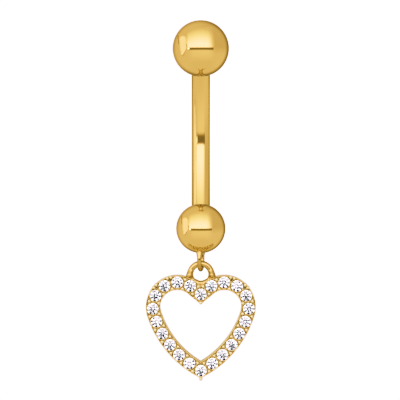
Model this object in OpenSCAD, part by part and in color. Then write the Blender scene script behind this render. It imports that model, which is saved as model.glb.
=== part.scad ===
// Navel ring: a curved barbell with a screw-on top ball, a fixed bottom ball
// with a soldered loop, and an open heart drop set with round brilliants.
// Millimetres. The origin is the middle of the stretch of bar between the
// balls, +Z runs up the bar, and the wearer's front faces -Y.

/* [Bar] */
// Diameter of the bar, 14 gauge
bar_d = 1.63; // [1.2:0.01:2]
// Clear length of bar between the two balls
wear_length = 11.3; // [9:0.1:14]
// Radius of the bar's bend, at its centreline
bend_r = 11; // [10:0.5:20]

/* [Balls] */
// Diameter of the ball that screws off
top_ball_d = 5; // [4:0.1:6]
// Diameter of the fixed ball
bottom_ball_d = 4.4; // [4:0.1:6]
// Width of the flat ring that seats on the bar's end, outside the bar
seat_margin = 0.1; // [0.05:0.01:0.2]
// Clearance between the bar's end and the top ball
seat_gap = 0.02; // [0.01:0.01:0.05]

/* [Thread] */
// Diameter of the plain pin that stands for the screw thread
pin_d = 1.2; // [0.9:0.05:1.2]
// Length of the pin beyond the bar's end
pin_length = 2; // [1.5:0.1:2.5]
// Radial clearance of the pin in its bore
pin_clearance = 0.04; // [0.02:0.01:0.08]
// Space left in the bore past the pin's tip
bore_relief = 0.3; // [0.2:0.1:0.6]

/* [Loop] */
// Outer diameter of the loop soldered under the bottom ball
loop_d = 2.3; // [2.1:0.1:2.8]
// Diameter of the loop's wire
loop_wire_d = 0.4; // [0.3:0.05:0.5]
// Depth of the loop's top edge inside the ball
loop_sunk = 0.65; // [0.4:0.05:0.8]
// Turn of the loop about the vertical
loop_turn = -8.5; // [-15:0.5:15]

/* [Bail] */
// Outer diameter of the ring cast on top of the heart
bail_d = 2.34; // [2.2:0.02:2.6]
// Diameter of the bail's wire
bail_wire_d = 0.5; // [0.4:0.05:0.55]
// Clearance between the bail and the loop that it hangs in
hang_gap = 0.03; // [0.02:0.01:0.06]
// Distance from the bail's lower wire to the edge of the notch stone
bail_to_stone = 0.28; // [0.25:0.01:0.4]

/* [Heart] */
// Half the distance between the centres of the two lobes
lobe_x = 2.09; // [1.9:0.01:2.4]
// Radius of the line of stones round a lobe
lobe_r = 2.2; // [2:0.05:2.4]
// Slope of the line of stones beside the notch, in degrees
notch_slope = 39.5; // [34:0.5:44]
// Radius of the line of stones down a side
side_r = 8.75; // [8:0.25:11]
// Height from the notch stone down to the bottom stone
line_h = 6.82; // [6.4:0.02:7.4]
// Metal outside the line of stones
rim_out = 0.6; // [0.59:0.01:0.7]
// Metal inside the line of stones
rim_in = 0.68; // [0.62:0.01:0.8]
// Thickness of the heart from front to back
heart_t = 1.3; // [1.1:0.05:1.6]

/* [Stones] */
// Girdle diameter of a stone
stone_d = 1.1; // [1:0.02:1.12]
// Least space between two neighbouring stones
stone_space = 0.1; // [0.1:0.01:0.2]
// Clearance between a stone and its seat
stone_gap = 0.02; // [0.01:0.005:0.03]
// Depth of the girdle's top edge below the front of the heart
girdle_drop = 0.12; // [0.1:0.01:0.2]
// Table width as a share of the stone's diameter
table_share = 0.57; // [0.53:0.01:0.62]
// Crown height as a share of the stone's diameter
crown_share = 0.155; // [0.13:0.005:0.17]
// Girdle thickness as a share of the stone's diameter
girdle_share = 0.03; // [0.02:0.005:0.04]
// Pavilion depth as a share of the stone's diameter
pavilion_share = 0.43; // [0.41:0.005:0.44]
// Diameter of the hole behind a stone
light_hole_d = 0.6; // [0.4:0.05:0.7]
// Width at the lower halves' inner ends as a share of the stone's diameter
lower_share = 0.23; // [0.18:0.01:0.3]
// Turn from one stone to the next about its own axis, in degrees
stone_turn = 17; // [0:1:45]

/* [Prongs] */
// Diameter of a prong
prong_d = 0.28; // [0.24:0.01:0.3]
// Height of a prong's tip above the front of the heart
prong_rise = 0.1; // [0.06:0.01:0.14]
// Depth of a prong's foot below the front of the heart
prong_foot = 0.4; // [0.3:0.05:0.6]
// Metal left between a prong and the seats beside it
prong_wall = 0.025; // [0.02:0.005:0.05]
// Turn of each paired prong round its stone, from the line to the next stone
paired_angle = 54; // [50:1:60]
// Lowest place of paired prongs on a lobe, in degrees above its middle
shoulder_from = 30; // [20:1:40]
// Highest place of paired prongs on a lobe, in degrees above its middle
shoulder_to = 90; // [80:1:95]

/* [Hidden] */
$fn = 96;
eps = 0.01;

// Bar and balls. Each ball's centre lies straight on from the end of the bar's
// arc, so end_angle solves bend_r * sin(a) + ahead * cos(a) = rise.
function end_angle(rise, ahead) = asin(rise / norm([bend_r, ahead])) - atan2(ahead, bend_r);
function end_back(angle, ahead) = bend_r * (cos(angle) - 1) - ahead * sin(angle);

// A ball's reach is how far from its centre the bar's end lies.
function reach(ball_d) = sqrt(pow(ball_d / 2, 2) - pow(bar_d / 2 + seat_margin, 2));

flat_reach = reach(top_ball_d);
top_reach = flat_reach + seat_gap;
bottom_reach = reach(bottom_ball_d);
top_z = wear_length / 2 + top_ball_d / 2;
bottom_z = -wear_length / 2 - bottom_ball_d / 2;
top_angle = end_angle(top_z, top_reach);
bottom_angle = end_angle(-bottom_z, bottom_reach);
top_y = end_back(top_angle, top_reach);
bottom_y = end_back(bottom_angle, bottom_reach);
bore_depth = seat_gap + pin_length + bore_relief;

// Loop and hinge. The bail's upper wire lies in the bottom of the loop, and
// its centre is the pivot that the heart swings on.
loop_r = (loop_d - loop_wire_d) / 2;
loop_z = bottom_z - bottom_ball_d / 2 + loop_sunk - loop_d / 2;
pivot_z = loop_z - loop_d / 2 + loop_wire_d + hang_gap + bail_wire_d / 2;
bail_r = (bail_d - bail_wire_d) / 2;

// The line of stones, in the heart's own plane with the pivot at its origin:
// a straight run up from the notch, the lobe's arc, then the side's arc,
// which is tangent to the lobe and ends at the bottom stone.
lobe_start = 90 + notch_slope;
notch_y = -2 * bail_r - bail_to_stone - stone_d / 2;
tip_y = notch_y - line_h;
run_l = (lobe_x + lobe_r * cos(lobe_start)) / cos(notch_slope);
lobe_y = notch_y + run_l * sin(notch_slope) - lobe_r * sin(lobe_start);
lobe_c = [lobe_x, lobe_y];
to_tip = [0, tip_y] - lobe_c;
tip_l = norm(to_tip);
along = (pow(side_r - lobe_r, 2) - pow(side_r, 2) + pow(tip_l, 2)) / (2 * tip_l);
across = sqrt(pow(side_r - lobe_r, 2) - pow(along, 2));
side_c = lobe_c + (along * to_tip + across * [to_tip.y, -to_tip.x]) / tip_l;
lobe_end = atan2(lobe_c.y - side_c.y, lobe_c.x - side_c.x);
side_end = atan2(tip_y - side_c.y, -side_c.x);
lobe_l = lobe_r * (lobe_start - lobe_end) * PI / 180;
side_l = side_r * (lobe_end - side_end) * PI / 180;
line_l = run_l + lobe_l + side_l;

function polar(r, a) = r * [cos(a), sin(a)];
function line_point(s) =
    s < run_l ? [0, notch_y] + polar(s, notch_slope) :
    s < run_l + lobe_l ? lobe_c + polar(lobe_r, lobe_start - (s - run_l) / lobe_r * 180 / PI) :
    side_c + polar(side_r, lobe_end - (s - run_l - lobe_l) / side_r * 180 / PI);

// Stones are spaced evenly from the notch down each side to the bottom.
spaces = floor(line_l / (stone_d + stone_space));
pitch = line_l / spaces;
stone_count = 2 * spaces;
seat_r = stone_d / 2 + stone_gap;
girdle_z = heart_t / 2 - girdle_drop;
function mirrored(p) = [-p.x, p.y];
function stone_place(i) =
    i <= spaces ? line_point(i * pitch) : mirrored(line_point((stone_count - i) * pitch));
function stone_name(i) = str("stone_", i < 9 ? "0" : "", i + 1);

// Prongs stand in the gaps between neighbouring stones of the right half, all
// at one distance from their stones: one inside, and outside one that both
// stones share, or two where the lobe's shoulder opens the gap.
function gap_start(i) = line_point(i * pitch);
function gap_run(i) = (gap_start(i + 1) - gap_start(i)) / norm(gap_start(i + 1) - gap_start(i));
function gap_middle(i) = (gap_start(i) + gap_start(i + 1)) / 2;
function gap_half(i) = norm(gap_start(i + 1) - gap_start(i)) / 2;
function gap_out(i) = [-gap_run(i).y, gap_run(i).x];
function gap_place(i) = atan2(gap_middle(i).y - lobe_y, gap_middle(i).x - lobe_x);
function is_shoulder(i) = gap_place(i) > shoulder_from && gap_place(i) < shoulder_to;
prong_reach = seat_r + prong_wall + prong_d / 2;
function shared(i) = [0, sqrt(pow(prong_reach, 2) - pow(gap_half(i), 2))];
function paired(i) = [gap_half(i) - prong_reach * cos(paired_angle), prong_reach * sin(paired_angle)];
side_prongs = [
    for (i = [0 : spaces - 1])
        for (offset = is_shoulder(i) ? [-shared(i), paired(i), mirrored(paired(i))] : [-shared(i), shared(i)])
            gap_middle(i) + offset.x * gap_run(i) + offset.y * gap_out(i)
];
// One more prong ends the inner point and one stands at the heart's tip.
middle_prongs = [[0, notch_y - prong_reach], [0, tip_y - prong_reach]];

// Places what is drawn along +Z at the bar's top end, with the ball's centre at the origin.
module at_top_ball() {
    translate([0, top_y, top_z]) rotate([top_angle, 0, 0]) children();
}

// Hangs what is drawn in the heart's plane, its front up, from the pivot.
module hung() {
    translate([0, bottom_y, pivot_z]) rotate([90, 0, 0]) children();
}

module mirror_copy() {
    children();
    mirror([1, 0, 0]) children();
}

// A ball with a flat where it meets the bar and a blind bore for the thread.
module top_ball() {
    color([0.86, 0.68, 0.33])
        at_top_ball() difference() {
            sphere(d = top_ball_d);
            translate([0, 0, -flat_reach - top_ball_d]) cylinder(d = top_ball_d, h = top_ball_d);
            translate([0, 0, -flat_reach - eps])
                cylinder(d = pin_d + 2 * pin_clearance, h = bore_depth + eps);
        }
}

module bent_bar() {
    translate([0, -bend_r, 0]) rotate([90, 0, 90]) rotate([0, 0, -bottom_angle])
        rotate_extrude(angle = bottom_angle + top_angle) translate([bend_r, 0]) circle(d = bar_d);
}

// The plain pin starts inside the bar, so that the two are one solid.
module thread_pin() {
    root = bar_d / 2;
    at_top_ball() translate([0, 0, -top_reach - root])
        cylinder(d = pin_d, h = root + pin_length);
}

module soldered_loop() {
    translate([0, bottom_y, loop_z]) rotate([0, 0, loop_turn]) rotate([0, 90, 0])
        rotate_extrude() translate([loop_r, 0]) circle(d = loop_wire_d);
}

module barbell() {
    color([0.85, 0.66, 0.31]) {
        bent_bar();
        thread_pin();
        translate([0, bottom_y, bottom_z]) sphere(d = bottom_ball_d);
        soldered_loop();
    }
}

// The area inside a curve that runs beside the line of stones, by grow outside it.
// The three pieces of each half meet along straight edges from the lobe's centre.
module heart_area(grow) {
    far = 2 * (lobe_r + side_r);
    notch_top = notch_y + grow / cos(notch_slope);
    lobe_reach = 2 * (lobe_r + rim_out);
    mirror_copy() {
        intersection() {
            translate(lobe_c) circle(r = lobe_r + grow);
            polygon([
                lobe_c,
                lobe_c + polar(lobe_reach, lobe_end),
                lobe_c + polar(lobe_reach, (lobe_end + lobe_start) / 2),
                lobe_c + polar(lobe_reach, lobe_start)
            ]);
        }
        intersection() {
            translate(side_c) circle(r = side_r + grow);
            polygon([
                lobe_c,
                [0, lobe_y],
                [0, tip_y - far],
                [far, tip_y - far],
                lobe_c + polar(far, lobe_end)
            ]);
        }
        polygon([lobe_c, lobe_c + polar(lobe_r + grow, lobe_start), [0, notch_top], [0, lobe_y]]);
    }
}

module heart_band() {
    linear_extrude(height = heart_t, center = true) difference() {
        heart_area(rim_out);
        heart_area(-rim_in);
    }
}

module bail() {
    translate([0, -bail_r, 0]) rotate_extrude() translate([bail_r, 0]) circle(d = bail_wire_d);
}

// The bright cut that opens above a girdle, at 45 degrees up to past the front.
module bright_cut() {
    depth = girdle_drop + prong_rise;
    translate([0, 0, girdle_z]) cylinder(r1 = seat_r, r2 = seat_r + depth, h = depth);
}

// The bore round the girdle, the bearing under the pavilion and the hole behind it.
module seat() {
    girdle_h = girdle_share * stone_d;
    bearing_h = (seat_r - light_hole_d / 2) * 2 * pavilion_share;
    bearing_z = girdle_z - girdle_h - bearing_h;
    translate([0, 0, girdle_z - girdle_h]) cylinder(r = seat_r, h = heart_t);
    translate([0, 0, bearing_z]) cylinder(d1 = light_hole_d, r2 = seat_r, h = bearing_h);
    translate([0, 0, -heart_t / 2 - eps]) cylinder(d = light_hole_d, h = heart_t / 2 + eps + bearing_z);
}

module at_each_stone() {
    for (i = [0 : stone_count - 1]) translate(stone_place(i)) children();
}

module prong() {
    tip_z = heart_t / 2 + prong_rise - prong_d / 2;
    foot_z = heart_t / 2 - prong_foot;
    translate([0, 0, foot_z]) cylinder(d = prong_d, h = tip_z - foot_z);
    translate([0, 0, tip_z]) sphere(d = prong_d);
}

module heart_frame() {
    color([0.88, 0.72, 0.36])
        hung() difference() {
            union() {
                difference() {
                    union() {
                        heart_band();
                        bail();
                    }
                    at_each_stone() bright_cut();
                }
                mirror_copy() for (p = side_prongs) translate(p) prong();
                for (p = middle_prongs) translate(p) prong();
            }
            at_each_stone() seat();
        }
}

// A round brilliant with its girdle's top edge at z = 0 and its table up. Round
// the table lie the stars, the bezels and two upper halves to each bezel, and
// below the girdle two lower halves to each main, which runs to the culet. The
// junction rings lie on the planes of the bezels and mains, so facets are flat.
module brilliant() {
    mains = 8;
    step = 360 / mains;
    girdle_r = stone_d / 2;
    table_r = girdle_r * table_share;
    crown_h = stone_d * crown_share;
    girdle_h = stone_d * girdle_share;
    pavilion_h = stone_d * pavilion_share;
    star_x = (girdle_r + table_r) / 2;
    star_z = crown_h * (girdle_r - star_x) / (girdle_r - table_r);
    lower_x = girdle_r * lower_share;
    lower_z = -girdle_h - pavilion_h * (1 - lower_x / girdle_r);
    function ring(r, z, n, turn) = [for (k = [0 : n - 1]) concat(polar(r, turn + k * 360 / n), z)];
    function junctions(x, z) = ring(x / cos(step / 2), z, mains, step / 2);
    function table(k) = k % mains;
    function star(k) = mains + (k + mains) % mains;
    function top(k) = 2 * mains + k % (2 * mains);
    function bottom(k) = 4 * mains + k % (2 * mains);
    function lower(k) = 6 * mains + (k + mains) % mains;
    culet = 7 * mains;
    polyhedron(
        points = concat(
            ring(table_r, crown_h, mains, 0),
            junctions(star_x, star_z),
            ring(girdle_r, 0, 2 * mains, 0),
            ring(girdle_r, -girdle_h, 2 * mains, 0),
            junctions(lower_x, lower_z),
            [[0, 0, -girdle_h - pavilion_h]]
        ),
        faces = concat(
            [[for (k = [mains - 1 : -1 : 0]) table(k)]],
            [for (k = [0 : mains - 1]) [table(k), table(k + 1), star(k)]],
            [for (k = [0 : mains - 1]) [table(k), star(k), top(2 * k), star(k - 1)]],
            [for (k = [0 : mains - 1]) [star(k), top(2 * k + 1), top(2 * k)]],
            [for (k = [0 : mains - 1]) [star(k), top(2 * k + 2), top(2 * k + 1)]],
            [for (k = [0 : 2 * mains - 1]) [top(k), top(k + 1), bottom(k + 1), bottom(k)]],
            [for (k = [0 : mains - 1]) [lower(k), bottom(2 * k), bottom(2 * k + 1)]],
            [for (k = [0 : mains - 1]) [lower(k), bottom(2 * k + 1), bottom(2 * k + 2)]],
            [for (k = [0 : mains - 1]) [culet, lower(k - 1), bottom(2 * k), lower(k)]]
        )
    );
}

module stone(i) {
    color([0.95, 0.95, 0.98, 0.8])
        hung() translate(stone_place(i)) translate([0, 0, girdle_z]) rotate(i * stone_turn) brilliant();
}

top_ball();
barbell();
heart_frame();
for (i = [0 : stone_count - 1]) stone(i);
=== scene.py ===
# %% [markdown]
# # A navel ring in polished gold
# This script dresses a navel ring: a curved barbell with a ball that screws off, a
# fixed ball with a soldered loop, and an open heart that hangs from the loop and
# holds 22 small round stones. The packed model is the frame. It says where every
# piece is and how it moves. What follows makes the surfaces that are seen, and the
# light that polished gold needs.
# %% Load the frame
import math

import bmesh
import bpy
import numpy as np
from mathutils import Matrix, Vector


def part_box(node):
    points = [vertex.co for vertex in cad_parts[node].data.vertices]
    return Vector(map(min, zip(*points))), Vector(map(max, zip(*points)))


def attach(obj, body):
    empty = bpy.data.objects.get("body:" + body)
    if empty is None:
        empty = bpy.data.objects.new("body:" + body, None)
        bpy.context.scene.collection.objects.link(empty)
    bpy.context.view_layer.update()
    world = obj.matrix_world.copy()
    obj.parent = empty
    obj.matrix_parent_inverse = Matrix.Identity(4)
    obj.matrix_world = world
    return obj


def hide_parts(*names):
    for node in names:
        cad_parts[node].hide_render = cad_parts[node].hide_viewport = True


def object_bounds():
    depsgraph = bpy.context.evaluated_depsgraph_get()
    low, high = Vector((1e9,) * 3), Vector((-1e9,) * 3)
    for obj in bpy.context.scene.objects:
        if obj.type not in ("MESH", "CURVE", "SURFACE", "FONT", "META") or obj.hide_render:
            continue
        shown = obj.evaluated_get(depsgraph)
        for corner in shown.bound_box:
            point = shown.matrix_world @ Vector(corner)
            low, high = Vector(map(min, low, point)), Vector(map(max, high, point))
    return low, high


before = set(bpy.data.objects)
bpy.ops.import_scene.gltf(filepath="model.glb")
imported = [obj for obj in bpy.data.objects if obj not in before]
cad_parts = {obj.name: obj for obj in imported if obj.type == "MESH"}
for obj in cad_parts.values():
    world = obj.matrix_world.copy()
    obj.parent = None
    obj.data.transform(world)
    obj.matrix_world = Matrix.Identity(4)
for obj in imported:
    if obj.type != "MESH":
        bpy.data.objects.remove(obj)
cad_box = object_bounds()

# %% [markdown]
# The camera comes first. A long lens far away keeps the two balls nearly the same
# size, as in a catalogue picture. It stands a little above the ring, so that the
# walls which face upwards show as a thin line. The lens follows from the scale of
# the picture: how many of its 400 pixels one millimetre takes where the balls are.
# %% Camera
MM = 0.001
IMAGE_WIDTH = 400
PIXELS_PER_MM = 11.24
SENSOR = 36
CAMERA_DISTANCE = 200
CAMERA_RISE = math.radians(2.8)
AIM = np.array([-0.07, -3.1, -5.31])


def make_camera():
    """A camera on a circle about the aim: distance times (0, -cos(rise), sin(rise))."""
    data = bpy.data.cameras.new("camera")
    data.sensor_width = SENSOR
    data.lens = SENSOR * CAMERA_DISTANCE * PIXELS_PER_MM / IMAGE_WIDTH
    data.clip_start, data.clip_end = 0.01, 10
    camera = bpy.data.objects.new("camera", data)
    back = np.array([0, -math.cos(CAMERA_RISE), math.sin(CAMERA_RISE)])
    camera.location = (AIM + CAMERA_DISTANCE * back) * MM
    camera.rotation_euler = (math.pi / 2 - CAMERA_RISE, 0, 0)
    bpy.context.collection.objects.link(camera)
    bpy.context.scene.camera = camera
    return camera


camera = make_camera()
print("lens:", round(camera.data.lens, 1), "mm")

# %% [markdown]
# The sizes are the real ones, in millimetres, and they are the same as in the solid
# model. From these few the rest follows: each ball's centre lies straight on from
# the end of the bar's arc, the loop is sunk in the lower ball, and the heart's bail
# lies in the bottom of the loop.
# %% Sizes of the bar, the balls and the loop
BAR_D = 1.63
WEAR_LENGTH = 11.3
BEND_R = 11.0
TOP_BALL_D = 5.0
BOTTOM_BALL_D = 4.4
SEAT_MARGIN = 0.1
SEAT_GAP = 0.02
PIN_D = 1.2
PIN_LENGTH = 2.0
PIN_CLEARANCE = 0.04
BORE_RELIEF = 0.3
LOOP_D = 2.3
LOOP_WIRE_D = 0.4
LOOP_SUNK = 0.65
LOOP_TURN = math.radians(-8.5)
BAIL_D = 2.34
BAIL_WIRE_D = 0.5
HANG_GAP = 0.03


def ball_reach(ball_d):
    """How far a ball's centre is from the bar's end: its height over the seat's circle."""
    return math.sqrt((ball_d / 2) ** 2 - (BAR_D / 2 + SEAT_MARGIN) ** 2)


def end_angle(rise, ahead):
    """The arc's angle a at which BEND_R * sin(a) + ahead * cos(a) is the rise."""
    return math.asin(rise / math.hypot(BEND_R, ahead)) - math.atan2(ahead, BEND_R)


def end_back(angle, ahead):
    """The Y of a ball's centre: back along the arc, then straight on by ahead."""
    return BEND_R * (math.cos(angle) - 1) - ahead * math.sin(angle)


TOP_REACH = ball_reach(TOP_BALL_D) + SEAT_GAP
BOTTOM_REACH = ball_reach(BOTTOM_BALL_D)
TOP_Z = WEAR_LENGTH / 2 + TOP_BALL_D / 2
BOTTOM_Z = -WEAR_LENGTH / 2 - BOTTOM_BALL_D / 2
TOP_ANGLE = end_angle(TOP_Z, TOP_REACH)
BOTTOM_ANGLE = end_angle(-BOTTOM_Z, BOTTOM_REACH)
TOP_CENTRE = np.array([0, end_back(TOP_ANGLE, TOP_REACH), TOP_Z])
BOTTOM_CENTRE = np.array([0, end_back(BOTTOM_ANGLE, BOTTOM_REACH), BOTTOM_Z])
HEART_Y = BOTTOM_CENTRE[1]
LOOP_R = (LOOP_D - LOOP_WIRE_D) / 2
LOOP_Z = BOTTOM_Z - BOTTOM_BALL_D / 2 + LOOP_SUNK - LOOP_D / 2
PIVOT_Z = LOOP_Z - LOOP_D / 2 + LOOP_WIRE_D + HANG_GAP + BAIL_WIRE_D / 2
BAIL_R = (BAIL_D - BAIL_WIRE_D) / 2


def node_box(node):
    """The node's lowest and highest corners in millimetres."""
    low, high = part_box(node)
    return np.array(low) / MM, np.array(high) / MM


low, high = node_box("top_ball")
print("top ball off its node by", np.round((low + high) / 2 - TOP_CENTRE, 3), "mm")
low, high = node_box("barbell")
print("loop's foot off its node by", round(low[2] - (LOOP_Z - LOOP_D / 2), 3), "mm")

# %% [markdown]
# Every new piece is a sheet of points worked out with numpy: a grid with one
# direction along its rows and one across them. These helpers turn grids into one
# mesh. Rows that meet, such as the seam of a ball or its poles, are merged, so that
# each piece is a closed skin without a slit.
# %% Mesh helpers
MERGE = 1e-6
PIECES = []


def grid_faces(rows, columns, start):
    """Corner numbers of the squares between neighbouring rows and columns of a grid."""
    corner = start + np.arange(rows * columns).reshape(rows, columns)
    sides = (corner[:-1, :-1], corner[:-1, 1:], corner[1:, 1:], corner[1:, :-1])
    return np.stack(sides, axis=-1).reshape(-1, 4)


def merge_seams(mesh):
    """Merges corners that lie on each other, which drops the faces that shrink to nothing, and
    gives the volume inside. It is above 0 only where the faces point outwards."""
    skin = bmesh.new()
    skin.from_mesh(mesh)
    bmesh.ops.remove_doubles(skin, verts=skin.verts, dist=MERGE)
    volume = skin.calc_volume(signed=True) / MM**3
    skin.to_mesh(mesh)
    skin.free()
    mesh.update()
    return volume


def add_mesh(name, points, faces, material):
    """A new object from corners in millimetres and lists of corner numbers."""
    mesh = bpy.data.meshes.new(name)
    mesh.from_pydata((points * MM).tolist(), [], faces)
    mesh.materials.append(material)
    thing = bpy.data.objects.new(name, mesh)
    bpy.context.collection.objects.link(thing)
    return thing


def make_piece(name, grids, material, body, crease=None):
    """One closed mesh from grids of points in millimetres, whose skins point outwards."""
    starts = np.cumsum([0] + [grid.shape[0] * grid.shape[1] for grid in grids])
    points = np.concatenate([grid.reshape(-1, 3) for grid in grids])
    faces = np.concatenate([grid_faces(*grid.shape[:2], start) for grid, start in zip(grids, starts)])
    piece = add_mesh(name, points, faces.tolist(), material)
    mesh = piece.data
    volume = merge_seams(mesh)
    mesh.shade_smooth()
    if crease is not None:
        mesh.set_sharp_from_angle(angle=math.radians(crease))
    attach(piece, body)
    PIECES.append(piece)
    print(f"{name}: {len(mesh.polygons)} faces, {volume:.2f} mm3 inside")
    return piece


def turned(points, axis, angle):
    """Points turned about axis 0, 1 or 2. With p and q the next two axes in order:
    p cos - q sin and p sin + q cos."""
    p, q = (axis + 1) % 3, (axis + 2) % 3
    c, s = math.cos(angle), math.sin(angle)
    points, old = points.copy(), points
    points[..., p] = old[..., p] * c - old[..., q] * s
    points[..., q] = old[..., p] * s + old[..., q] * c
    return points


def arc(start, end, steps):
    """Angles from start to end, in degrees, as radians."""
    return np.radians(np.linspace(start, end, steps + 1))


def full_turn(steps):
    """The angles of one full turn, one for each row of a grid."""
    return np.linspace(0, 2 * math.pi, steps + 1)[:, None]


def on_circle(radius, angle):
    """The flat points (r cos a, r sin a)."""
    return np.stack([radius * np.cos(angle), radius * np.sin(angle)], axis=-1)


def revolve(radius, height, steps=96):
    """A profile turned round the Z axis: (r cos a, r sin a, h). Radius may differ by angle."""
    flat = on_circle(np.broadcast_to(radius, (steps + 1, len(height))), full_turn(steps))
    return np.dstack([flat, np.broadcast_to(height, flat.shape[:2])])


print("a grid of 3 by 3 corners has", len(grid_faces(3, 3, 0)), "faces")

# %% [markdown]
# A material and the surroundings are trees of nodes, and a tree is a formula: each
# node takes numbers or what other nodes give. This small class adds a node, sets it
# and links it in one line, so that a formula can be read as one.
# %% Node helpers
class Net:
    """A node tree with short ways to add nodes to it and to link them."""

    def __init__(self, tree):
        self.nodes, self.links = tree.nodes, tree.links

    def put(self, value, socket):
        """Links what a node gives to a socket, or sets the socket to a plain value."""
        if isinstance(value, bpy.types.NodeSocket):
            self.links.new(value, socket)
        else:
            socket.default_value = value

    def add(self, kind, sockets=None, **settings):
        """One shader node: its settings, and what goes into its sockets by name or number."""
        node = self.nodes.new("ShaderNode" + kind)
        for name, value in settings.items():
            setattr(node, name, value)
        for name, value in (sockets or {}).items():
            self.put(value, node.inputs[name])
        return node

    def math(self, operation, *values):
        """One sum, product or other operation."""
        return self.add("Math", dict(enumerate(values)), operation=operation).outputs[0]

    def times(self, *values):
        """The product of two values or masks."""
        return self.math("MULTIPLY", *values)

    def mix(self, share, below, above, kind="FLOAT"):
        """A number, or an RGBA colour, with a share of another laid over it."""
        first, out = (6, 2) if kind == "RGBA" else (2, 0)
        sockets = {0: share, first: below, first + 1: above}
        return self.add("Mix", sockets, data_type=kind).outputs[out]

    def ramp(self, value, start, end, low=0.0, high=1.0, way="SMOOTHSTEP"):
        """low before start, high after end, and a smooth or a LINEAR change between them."""
        sockets = {"Value": value, "From Min": start, "From Max": end, "To Min": low, "To Max": high}
        return self.add("MapRange", sockets, interpolation_type=way).outputs["Result"]

    def window(self, value, low, high, soft):
        """1 between low and high and 0 outside, with soft edges."""
        rise = self.ramp(value, low - soft, low + soft)
        return self.times(rise, self.ramp(value, high + soft, high - soft))

    def vector(self, operation, *values):
        """One operation on vectors. A distance and a dot product are plain numbers."""
        out = self.add("VectorMath", dict(enumerate(values)), operation=operation).outputs
        return out["Value" if operation in ("DISTANCE", "DOT_PRODUCT") else "Vector"]


def new_material(name):
    """A material, the net of its nodes and the sockets of its Principled shader."""
    material = bpy.data.materials.new(name)
    material.use_nodes = True
    net = Net(material.node_tree)
    return material, net, net.nodes["Principled BSDF"].inputs


print("node helpers:", [name for name in vars(Net) if not name.startswith("_")])

# %% [markdown]
# Polished gold is never quite blank. A cloth and a wheel leave faint lines that
# follow the hand's way, and casting leaves a skin that is a little uneven. Both are
# the same effect at other scales, so one node group makes them. It gives a shade for
# the colour, a roughness and a height, and each gold material sets its own values.
# %% The shared polish marks
FINE_DETAIL, BROAD_DETAIL = 3.0, 2.0
FINE_HEIGHT = 0.4
NUMBERS = ("Fine Scale", "Broad Scale", "Base Roughness", "Roughness Spread")


def polish_group():
    """Marks: fine noise stretched along one axis, plus a broad noise for uneven places."""
    group = bpy.data.node_groups.new("polish_marks", "ShaderNodeTree")
    inputs = {"Vector": "Vector", "Bright Colour": "Color", "Deep Colour": "Color"}
    inputs.update({name: "Float" for name in NUMBERS})
    outputs = {"Colour": "Color", "Roughness": "Float", "Height": "Float"}
    for side, sockets in (("INPUT", inputs), ("OUTPUT", outputs)):
        for name, kind in sockets.items():
            group.interface.new_socket(name=name, in_out=side, socket_type="NodeSocket" + kind)
    net = Net(group)
    given = net.nodes.new("NodeGroupInput").outputs
    result = net.nodes.new("NodeGroupOutput").inputs
    noises = []
    for scale, detail in (("Fine Scale", FINE_DETAIL), ("Broad Scale", BROAD_DETAIL)):
        sockets = {"Vector": given["Vector"], "Scale": given[scale], "Detail": detail}
        noises.append(net.add("TexNoise", sockets).outputs["Fac"])
    fine, broad = noises
    colour = net.mix(broad, given["Bright Colour"], given["Deep Colour"], "RGBA")
    spread, base = given["Roughness Spread"], given["Base Roughness"]
    net.put(colour, result["Colour"])
    net.put(net.math("MULTIPLY_ADD", fine, spread, base), result["Roughness"])
    net.put(net.math("MULTIPLY_ADD", fine, FINE_HEIGHT, broad), result["Height"])
    return group


POLISH = polish_group()
print("group sockets:", [item.name for item in POLISH.interface.items_tree])

# %% [markdown]
# Yellow gold of 14 parts in 24 is gold with silver and copper. As a metal it has no
# colour under its skin: the base colour tints what it mirrors. A ball is buffed on
# all sides, the bar is buffed along its length, and the beads are burnished smoother
# than the rest. The beads' gold is painted lighter, as a painted highlight, and the
# gold of the loop and the bail is painted darker, as painted shade. Between the stones
# the cast heart is painted a darker gold, as painted shade in the recesses.
# The bar's edge tint is a darker one, which paints shade along its contour where it
# turns from the eye. It is a plain value of the shader, which holds from every side.
#
# Where one golden surface mirrors another, the colour is applied twice, and a
# strongly developed picture would show it as orange. So the gold that a mirrored
# ray meets is nearly grey, and the joints look deeper and not redder. The heart's is
# paler than the rest, because its row of beads would show as specks in the lower ball.
# %% Gold materials
BALL_GOLD = (1.0, 0.72, 0.37, 1), (0.98, 0.69, 0.34, 1)
# The beads' gold is painted lighter than the rest, as a painted highlight.
BEAD_GOLD_PAINTED_LIGHTER = (1.0, 0.87, 0.60, 1), (1.0, 0.80, 0.49, 1)
CAST_GOLD = (1.0, 0.76, 0.43, 1), (0.92, 0.68, 0.36, 1)
# The loop's and the bail's gold is painted darker than the rest, as painted shade.
WIRE_GOLD_PAINTED_DARKER = (0.84, 0.62, 0.33, 1), (0.66, 0.47, 0.23, 1)
MIRRORED_GOLD = (0.77, 0.74, 0.67, 1)
MIRRORED_HEART = (0.87, 0.85, 0.78, 1)
# Painted shade: a darker gold laid on the recesses between the stones.
CREVICE_SHADE_GOLD = (0.62, 0.51, 0.31, 1)
CREVICE_TOP, CREVICE_FOOT = 0.63, 0.58
CREVICE_FACING = (-0.15, -0.45)
EDGE_TINT = (0.96, 0.88, 0.74, 1)
# A darker edge tint paints shade along the bar's contour.
BAR_EDGE_SHADE_TINT = (0.46, 0.42, 0.35, 1)
LINE_STRETCH = 0.02


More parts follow.
